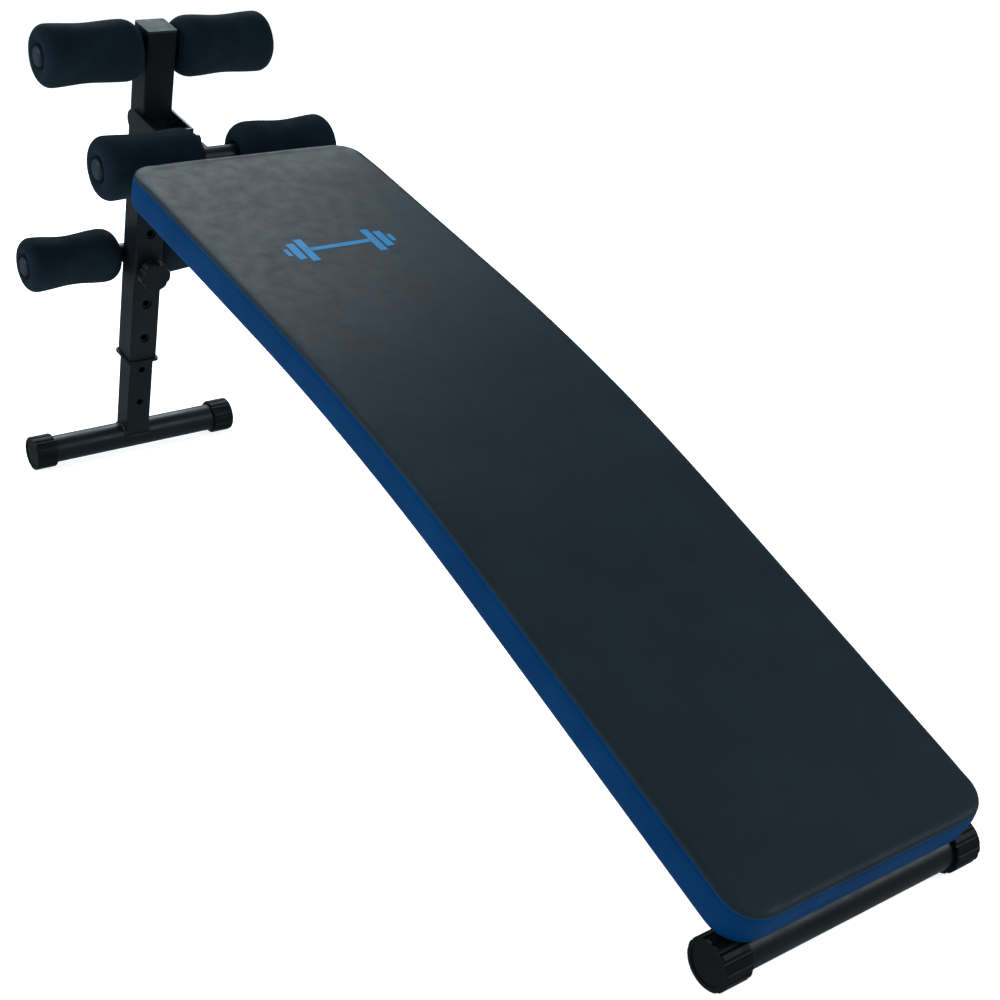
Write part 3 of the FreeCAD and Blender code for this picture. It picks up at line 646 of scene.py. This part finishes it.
def make_pad(black, blue, welt_painted_highlight_look):
    rows = plan_rows()
    loop = outline_loop(rows)
    rim = rim_indices(rows)
    top = pad_panel(rows, -COVER_SECTION[0][0], COVER_SECTION[0][1], CROWN)
    top[:, 2] += foam_unevenness(top)
    rings = pad_cover_rings(loop)
    bottom = pad_panel(rows, -COVER_SECTION[-1][0], COVER_SECTION[-1][1], 0.0)

    size = len(loop)
    points = np.concatenate([top, *rings[:-1], bottom])
    first_ring = len(top)
    bottom_start = first_ring + size * (len(rings) - 1)
    panel_faces = [f[::-1] for f in grid_faces(len(rows), COLUMNS)]

    def ring_index(ring, k):
        """Index of point k of a ring, where ring 0 is the top panel's rim."""
        k %= size
        if ring == 0:
            return rim[k]
        if ring == len(rings):
            return bottom_start + rim[k]
        return first_ring + (ring - 1) * size + k

    def band_faces(from_ring, to_ring):
        return [
            (ring_index(r, k), ring_index(r, k + 1), ring_index(r + 1, k + 1), ring_index(r + 1, k))
            for r in range(from_ring, to_ring)
            for k in range(size)
        ]

    bottom_faces = [tuple(bottom_start + i for i in f) for f in grid_faces(len(rows), COLUMNS)]
    held = np.zeros(len(points))
    held[bottom_start:] = HELD_MARGIN
    for ring in range(1, len(rings)):
        start = first_ring + (ring - 1) * size
        held[start : start + size] = held_share(ring)
    points = inflate(points, panel_faces + band_faces(0, len(rings)) + bottom_faces, held)

    def piece(name, faces, look):
        used = sorted({i for f in faces for i in f})
        place = {old: new for new, old in enumerate(used)}
        ob = mesh_object(name, points[used], [tuple(place[i] for i in f) for f in faces], "bench", look)
        thicken(ob, COVER_THICKNESS)
        subdivide_once(ob)
        return ob

    panel = piece("pad_top", panel_faces + band_faces(0, SEAM_RING), black)
    band = piece("pad_band", band_faces(SEAM_RING, len(rings)), blue)
    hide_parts("pad_top_panel", "pad_foam_core")
    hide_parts("pad_side_band")

    seam = points[[ring_index(SEAM_RING, k) for k in range(size)]]
    out = np.stack([loop[:, 2], loop[:, 3]], axis=1)
    _, _, slope = curve_places(loop[:, 0])
    outward = np.stack([-out[:, 0] * np.cos(slope), out[:, 1], out[:, 0] * np.sin(slope)], axis=1)
    path = [Vector(p) for p in seam + outward * WELT_OUT]
    # the welt wears the lighter blue, a painted highlight of the seam's folded edge
    tube("pad_seam_welt", path, WELT_R, "bench", welt_painted_highlight_look, closed=True)
    return panel


def tube(name, path, radius, body, look, closed=False, wobble=0.0, seed=0.0):
    """A round tube along points, with closed ends, and an uneven radius where it is a weld bead."""
    count, sides = len(path), TUBE_SIDES
    points = []
    for i, p in enumerate(path):
        after = path[(i + 1) % count] if closed or i < count - 1 else p
        before = path[i - 1] if closed or i > 0 else p
        along = (after - before).normalized()
        side = along.cross(Vector((0.31, 0.17, 0.93))).normalized()
        if side.length < 0.5:
            side = along.cross(X_AXIS).normalized()
        lift = along.cross(side)
        r = radius * (1 + wobble * noise.noise(p * BEAD_GRAIN + Vector((seed, 0.0, 0.0))))
        for k in range(sides):
            turn = 2 * math.pi * k / sides
            points.append(p + side * (r * math.cos(turn)) + lift * (r * math.sin(turn)))
    faces = grid_faces(count, sides, wrap_rows=closed, wrap_columns=True)
    if not closed:
        faces.append(tuple(range(sides)))
        faces.append(tuple(range((count - 1) * sides + sides - 1, (count - 1) * sides - 1, -1)))
    mesh_object(name, points, faces, body, look)


# ---- foam rollers ----


def roller_profile(radius, waist):
    """Half section of a foam roller, from the bore's inner mouth round to its outer mouth: y and radius."""
    y0, y1 = ROLLER_INNER_Y, ROLLER_OUTER_Y
    inner_round, outer_round = ROLLER_INNER_ROUND, ROLLER_OUTER_ROUND
    points = [(y0 + ROLLER_BEVEL[0], ROLLER_BORE_R), (y0, ROLLER_BORE_R + ROLLER_BEVEL[1])]
    turns = [math.pi / 2 * k / ROLLER_ROUND_STEPS for k in range(ROLLER_ROUND_STEPS + 1)]
    for turn in turns:
        y = y0 + inner_round[0] * (1 - math.cos(turn))
        points.append((y, radius - inner_round[1] * (1 - math.sin(turn))))
    a, b = y0 + inner_round[0], y1 - outer_round[0]
    for k in range(1, ROLLER_BODY_STEPS):
        t = k / ROLLER_BODY_STEPS
        points.append((a + (b - a) * t, radius - waist * math.sin(math.pi * t) ** 2))
    for turn in turns:
        y = b + outer_round[0] * math.sin(turn)
        points.append((y, radius - outer_round[1] * (1 - math.cos(turn))))
    for inwards, r in ROLLER_MOUTH:
        points.append((y1 - inwards, r))
    return points


def make_roller(node, look):
    centre = centre_of(node)
    low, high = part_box(node)
    side = 1.0 if centre.y > 0 else -1.0
    radius = (high.z - low.z) / 2
    profile = roller_profile(radius, ROLLER_WAIST[node.split("_")[0]])
    random.seed(node)
    shift = Vector((random.uniform(-9, 9), random.uniform(-9, 9), random.uniform(-9, 9)))
    points = []
    for y, r in profile:
        for k in range(ROLLER_SEGMENTS):
            turn = 2 * math.pi * k / ROLLER_SEGMENTS
            ray = Vector((math.cos(turn), 0.0, math.sin(turn)))
            dent = 0.0
            if r > ROLLER_BORE_R + DENTS_PAST_BORE:
                across, lengthways = DENT_SCALE
                where = Vector((ray.x * across, y * lengthways, ray.z * across))
                dent = DENT_DEPTH * noise.noise(where + shift) - DENT_SINK
            spot = ray * (r + dent)
            points.append((centre.x + spot.x, side * y, centre.z + spot.z))
    faces = grid_faces(len(profile), ROLLER_SEGMENTS, wrap_rows=True, wrap_columns=True)
    if side > 0:
        faces = [f[::-1] for f in faces]
    ob = mesh_object("foam_" + node, points, faces, body_of_node(node), look)
    subdivide_once(ob)
    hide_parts(node)


# ---- weld beads ----


def post_axes():
    along = Vector((math.sin(POST_LEAN), 0.0, math.cos(POST_LEAN)))
    forward = Vector((math.cos(POST_LEAN), 0.0, -math.sin(POST_LEAN)))
    return along, forward


def circle_path(centre, a, b, radius, steps=48):
    turns = [2 * math.pi * k / steps for k in range(steps)]
    return [centre + a * (radius * math.cos(t)) + b * (radius * math.sin(t)) for t in turns]


def line_path(start, end, steps=24):
    return [start.lerp(end, k / steps) for k in range(steps + 1)]


def saddle_path(centre, along, across, half, tube_r, steps=12):
    """Where a square tube stands on a round one: over it on both sides, straight at front and back."""
    reach = min(half, tube_r - 0.0004)

    def spot(offset, y):
        return centre + across * offset + Y_AXIS * y + along * math.sqrt(tube_r**2 - offset**2)

    offsets = [reach * (2 * k / steps - 1) for k in range(steps + 1)]
    path = [spot(o, -half) for o in offsets]
    path += [spot(reach, half * (2 * k / steps - 1)) for k in range(1, steps)]
    path += [spot(o, half) for o in offsets[::-1]]
    path += [spot(-reach, half * (1 - 2 * k / steps)) for k in range(1, steps)]
    return path


def make_welds(look):
    along, forward = post_axes()
    half_run = Y_AXIS * BAR_WELD_HALF_RUN
    beads = []

    def bead(name, path, body, closed=True, radius=BEAD_R):
        beads.append(name)
        tube(name, path, radius, body, look, closed, BEAD_WOBBLE, float(len(beads)))

    top = centre_of("top_bar")
    for label, side in (("left", -1), ("right", 1)):
        ring_centre = top + Y_AXIS * (side * (POST_HALF + RING_OFF_POST))
        bead("weld_top_bar_" + label, circle_path(ring_centre, X_AXIS, Z_AXIS, TOP_BAR_RING_R), "post")
    lower = centre_of("lower_bar")
    for label, step in (("above", 1), ("below", -1)):
        spot = lower + forward * BAR_WELD_DEPTH + along * (step * BAR_WELD_OUT)
        bead("weld_lower_bar_" + label, line_path(spot - half_run, spot + half_run), "post", False)
    middle = centre_of("middle_bar")
    tube_along = Vector((-math.cos(FORK_SLOPE), 0.0, math.sin(FORK_SLOPE)))
    tube_up = Vector((math.sin(FORK_SLOPE), 0.0, math.cos(FORK_SLOPE)))
    for label, step in (("front", -1), ("rear", 1)):
        spot = middle - tube_up * BAR_WELD_DEPTH + tube_along * (step * BAR_WELD_OUT)
        bead("weld_middle_bar_" + label, line_path(spot - half_run, spot + half_run), "bench", False)
    leg_foot = centre_of("leg_foot_tube")
    leg_saddle = saddle_path(leg_foot, along, forward, LEG_HALF, LEG_SADDLE_R)
    bead("weld_leg_foot", leg_saddle, "leg", radius=FOOT_BEAD_R)
    boss = centre_of("knob_boss")
    boss_foot = circle_path(boss - forward * BOSS_HALF_LENGTH, along, Y_AXIS, BOSS_RING_R, 32)
    bead("weld_knob_boss", boss_foot, "post", radius=SMALL_BEAD_R)
    barrel = centre_of("lock_barrel")
    face_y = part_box("lock_barrel")[0].y
    ring_centre = Vector((barrel.x, face_y, barrel.z))
    barrel_foot = circle_path(ring_centre, X_AXIS, Z_AXIS, BARREL_RING_R, 32)
    bead("weld_lock_barrel", barrel_foot, "bench", radius=SMALL_BEAD_R)
    low_foot = centre_of("low_foot_tube")
    up_slope = Vector((-math.cos(LOW_SLOPE), 0.0, math.sin(LOW_SLOPE)))
    square = Vector((math.sin(LOW_SLOPE), 0.0, math.cos(LOW_SLOPE)))
    frame_saddle = saddle_path(low_foot, up_slope, square, POST_HALF, FRAME_SADDLE_R)
    bead("weld_low_foot", frame_saddle, "bench", radius=FOOT_BEAD_R)


# ---- small details on the pad ----


def pad_frame_at(u, y, level):
    """A point over the bench curve, with the directions along it and square to it."""
    where = Vector(pad_points(np.array([u]), np.array([y]), np.array([level]))[0])
    slope = float(curve_places(np.array([u]))[2][0])
    along = Vector((-math.cos(slope), 0.0, math.sin(slope)))
    up = Vector((math.sin(slope), 0.0, math.cos(slope)))
    return where, along, up


def make_staples(look):
    """Wire staples that hold the cover's margin under the board."""
    points, faces = [], []
    rows = plan_rows()
    loop = outline_loop(rows)
    plan = np.stack([loop[:, 0] - loop[:, 2] * STAPLE_INSET, loop[:, 1] - loop[:, 3] * STAPLE_INSET], axis=1)
    steps = np.linalg.norm(np.roll(plan, -1, axis=0) - plan, axis=1)
    walked = np.concatenate([[0.0], np.cumsum(steps)])
    for k in range(int(walked[-1] / STAPLE_SPACING)):
        target = k * STAPLE_SPACING
        i = int(np.searchsorted(walked, target, side="right")) - 1
        a, b = plan[i % len(plan)], plan[(i + 1) % len(plan)]
        share = (target - walked[i]) / max(steps[i % len(plan)], 1e-9)
        u, y = a + (b - a) * share
        heading = b - a
        heading = heading / (np.linalg.norm(heading) + 1e-9)
        centre, along, up = pad_frame_at(float(u), float(y), COVER_SECTION[-1][1] - STAPLE_SINK)
        way = along * float(heading[0]) + Y_AXIS * float(heading[1])
        cross = way.cross(up)
        start = len(points)
        for end in (-1, 1):
            for corner in range(STAPLE_SIDES):
                turn = 2 * math.pi * corner / STAPLE_SIDES
                r_cross, r_up = STAPLE_WIRE_R * math.cos(turn), STAPLE_WIRE_R * math.sin(turn)
                tip = centre + way * (end * STAPLE_HALF_LENGTH)
                points.append(tip + (cross * r_cross + up * r_up))
        faces += [tuple(start + i for i in f) for f in grid_faces(2, STAPLE_SIDES, wrap_columns=True)]
        faces.append(tuple(start + i for i in range(STAPLE_SIDES)))
        faces.append(tuple(start + STAPLE_SIDES + i for i in range(STAPLE_SIDES - 1, -1, -1)))
    mesh_object("pad_staples", points, faces, "bench", look)


def make_print(panel, look):
    """A plain printed dumbbell sign on the pad, laid on its finished surface."""
    dg = bpy.context.evaluated_depsgraph_get()
    bpy.context.view_layer.update()
    tree = BVHTree.FromObject(panel, dg)
    bars = [(0.0, *SIGN_HANDLE)]
    for side in (-1, 1):
        for offset, half_y, half_u in SIGN_PLATES:
            bars.append((side * offset, half_y, half_u))
    points, faces = [], []
    for cy, hy, hu in bars:
        ny = max(3, int(2 * hy / SIGN_CELL) + 1)
        nu = max(3, int(2 * hu / SIGN_CELL) + 1)
        start = len(points)
        for layer in (0.0, 1.0):
            for i in range(nu):
                for j in range(ny):
                    u = SIGN_ALONG - hu + 2 * hu * i / (nu - 1)
                    y = cy - hy + 2 * hy * j / (ny - 1)
                    above, _, up = pad_frame_at(u, y, OVER_PAD)
                    hit = tree.ray_cast(above, -up)[0]
                    points.append(hit + up * (SIGN_FILM * (2 * layer - SIGN_SUNK)))
        count = nu * ny
        faces += [tuple(start + i for i in f) for f in grid_faces(nu, ny)]
        faces += [tuple(start + count + i for i in f[::-1]) for f in grid_faces(nu, ny)]
        edge = list(range(ny)) + [r * ny + ny - 1 for r in range(1, nu)]
        edge += [(nu - 1) * ny + c for c in range(ny - 2, -1, -1)] + [r * ny for r in range(nu - 2, 0, -1)]
        for k, a in enumerate(edge):
            b = edge[(k + 1) % len(edge)]
            faces.append((start + a, start + count + a, start + count + b, start + b))
    ob = mesh_object("pad_print", points, faces, "bench", look)
    ob.data.polygons.foreach_set("use_smooth", [False] * len(ob.data.polygons))


# ---- finishes of the CAD nodes that stay ----


def paint_cad_nodes():
    black = powder_coat()
    cap = moulded_plastic("cap_plastic", (0.0026, 0.0034, 0.0034), (0.40, 0.54), 0.11)
    knob = moulded_plastic("knob_plastic", (0.0028, 0.0044, 0.0058), (0.26, 0.38), 0.24)
    guide = moulded_plastic("guide_plastic", (0.0046, 0.0056, 0.0062), specular=0.2)
    bar_plug = moulded_plastic("bar_plug_plastic", (0.0098, 0.0160, 0.0245), (0.34, 0.48), 0.16)
    post_plug = moulded_plastic("post_plug_plastic", (0.0160, 0.0260, 0.0330), (0.50, 0.62), 0.08)
    looks = {
        "black_paint": black,
        "cap_plastic": cap,
        "knob_plastic": knob,
        "guide_plastic": guide,
        "bar_plug_plastic": bar_plug,
        "post_plug_plastic": post_plug,
        "zinc_steel": zinc_plate(),
        "board_wood": plywood(),
    }
    for entry in frame["record"]["subparts"]:
        look = looks.get(entry["material_slot"])
        if look is None:
            continue
        ob = frame["nodes"][entry["node"]]
        for place in ob.material_slots:
            place.material = look
    return looks


# ---- studio ----


def make_camera():
    a, e = CAMERA_AZIMUTH, CAMERA_DOWN
    forward = Vector((-math.sin(a) * math.cos(e), math.cos(a) * math.cos(e), -math.sin(e)))
    right = forward.cross(Z_AXIS).normalized()
    up = right.cross(forward)
    c, s = math.cos(CAMERA_ROLL), math.sin(CAMERA_ROLL)
    right, up = right * c + up * s, up * c - right * s
    data = bpy.data.cameras.new("camera")
    data.lens = LENS_MM
    data.sensor_width = SENSOR_MM
    data.shift_x, data.shift_y = CAMERA_SHIFT
    ob = bpy.data.objects.new("camera", data)
    bpy.context.scene.collection.objects.link(ob)
    turn = Matrix((right, up, -forward)).transposed().to_4x4()
    ob.matrix_world = Matrix.Translation(CAMERA_PLACE) @ turn
    bpy.context.scene.camera = ob


def area_light(name, place, target, size, power, colour):
    data = bpy.data.lights.new(name, "AREA")
    data.shape = "RECTANGLE"
    data.size, data.size_y = size
    data.energy = power
    data.color = colour
    ob = bpy.data.objects.new(name, data)
    bpy.context.scene.collection.objects.link(ob)
    ob.location = place
    ob.rotation_euler = (Vector(target) - Vector(place)).to_track_quat("-Z", "Y").to_euler()


def make_studio():
    world = bpy.data.worlds.new("studio")
    bpy.context.scene.world = world
    world.use_nodes = True
    nodes, links = world.node_tree.nodes, world.node_tree.links
    glow = nodes["Background"]
    glow.inputs["Color"].default_value = (0.80, 0.91, 1.0, 1.0)
    glow.inputs["Strength"].default_value = WORLD_GLOW
    # a plain white wall past the floor's edge, for camera rays only
    wall = nodes.new("ShaderNodeBackground")
    wall.inputs["Color"].default_value = (1.0, 1.0, 1.0, 1.0)
    wall.inputs["Strength"].default_value = 1.0
    seen = nodes.new("ShaderNodeMixShader")
    links.new(nodes.new("ShaderNodeLightPath").outputs["Is Camera Ray"], seen.inputs["Fac"])
    links.new(glow.outputs["Background"], seen.inputs[1])
    links.new(wall.outputs["Background"], seen.inputs[2])
    links.new(seen.outputs["Shader"], nodes["World Output"].inputs["Surface"])
    for light in LIGHTS:
        area_light(*light)
    reach = FLOOR_REACH
    corners = [(-reach, -reach, 0.0), (reach, -reach, 0.0), (reach, reach, 0.0), (-reach, reach, 0.0)]
    mesh = bpy.data.meshes.new("floor")
    mesh.from_pydata(corners, [], [(0, 1, 2, 3)])
    floor = bpy.data.objects.new("floor", mesh)
    bpy.context.scene.collection.objects.link(floor)
    floor.data.materials.append(floor_look())
    floor.visible_glossy = False
    bpy.context.scene.view_settings.view_transform = "Standard"


make_camera()
make_studio()
looks = paint_cad_nodes()
black_cover = leatherette(
    "black_leatherette",
    [(0.30, (0.0092, 0.0180, 0.0256)), (0.52, (0.0112, 0.0212, 0.0298)), (0.75, (0.0136, 0.0248, 0.0344))],
    (0.48, 0.58),
    0.13,
)
blue_cover = leatherette(
    "blue_leatherette",
    [(0.30, (0.0002, 0.0250, 0.0880)), (0.52, (0.0004, 0.0310, 0.1060)), (0.75, (0.0010, 0.0380, 0.1260))],
    (0.48, 0.60),
    0.034,
    0.00012,
    (0.15, 0.60, 1.0),
)
# the welt's blue is lighter than the band's: a painted highlight along the seam's folded edge
blue_welt_painted_highlight = leatherette(
    "blue_welt_painted_highlight",
    [(0.30, (0.0008, 0.0380, 0.1250)), (0.52, (0.0014, 0.0460, 0.1500)), (0.75, (0.0024, 0.0560, 0.1750))],
    (0.46, 0.58),
    0.06,
    0.00008,
    (0.45, 0.75, 1.0),
)
blue_print = leatherette(
    "blue_print",
    [(0.30, (0.0050, 0.2050, 0.4700)), (0.52, (0.0070, 0.2400, 0.5300)), (0.75, (0.0120, 0.2750, 0.5900))],
    (0.46, 0.56),
    0.12,
    0.00010,
)
pad_top = make_pad(black_cover, blue_cover, blue_welt_painted_highlight)
make_print(pad_top, blue_print)
make_staples(looks["zinc_steel"])
foam = roller_foam()
for node in sorted(frame["nodes"]):
    if "_roller_" in node:
        make_roller(node, foam)
make_welds(weld_metal())
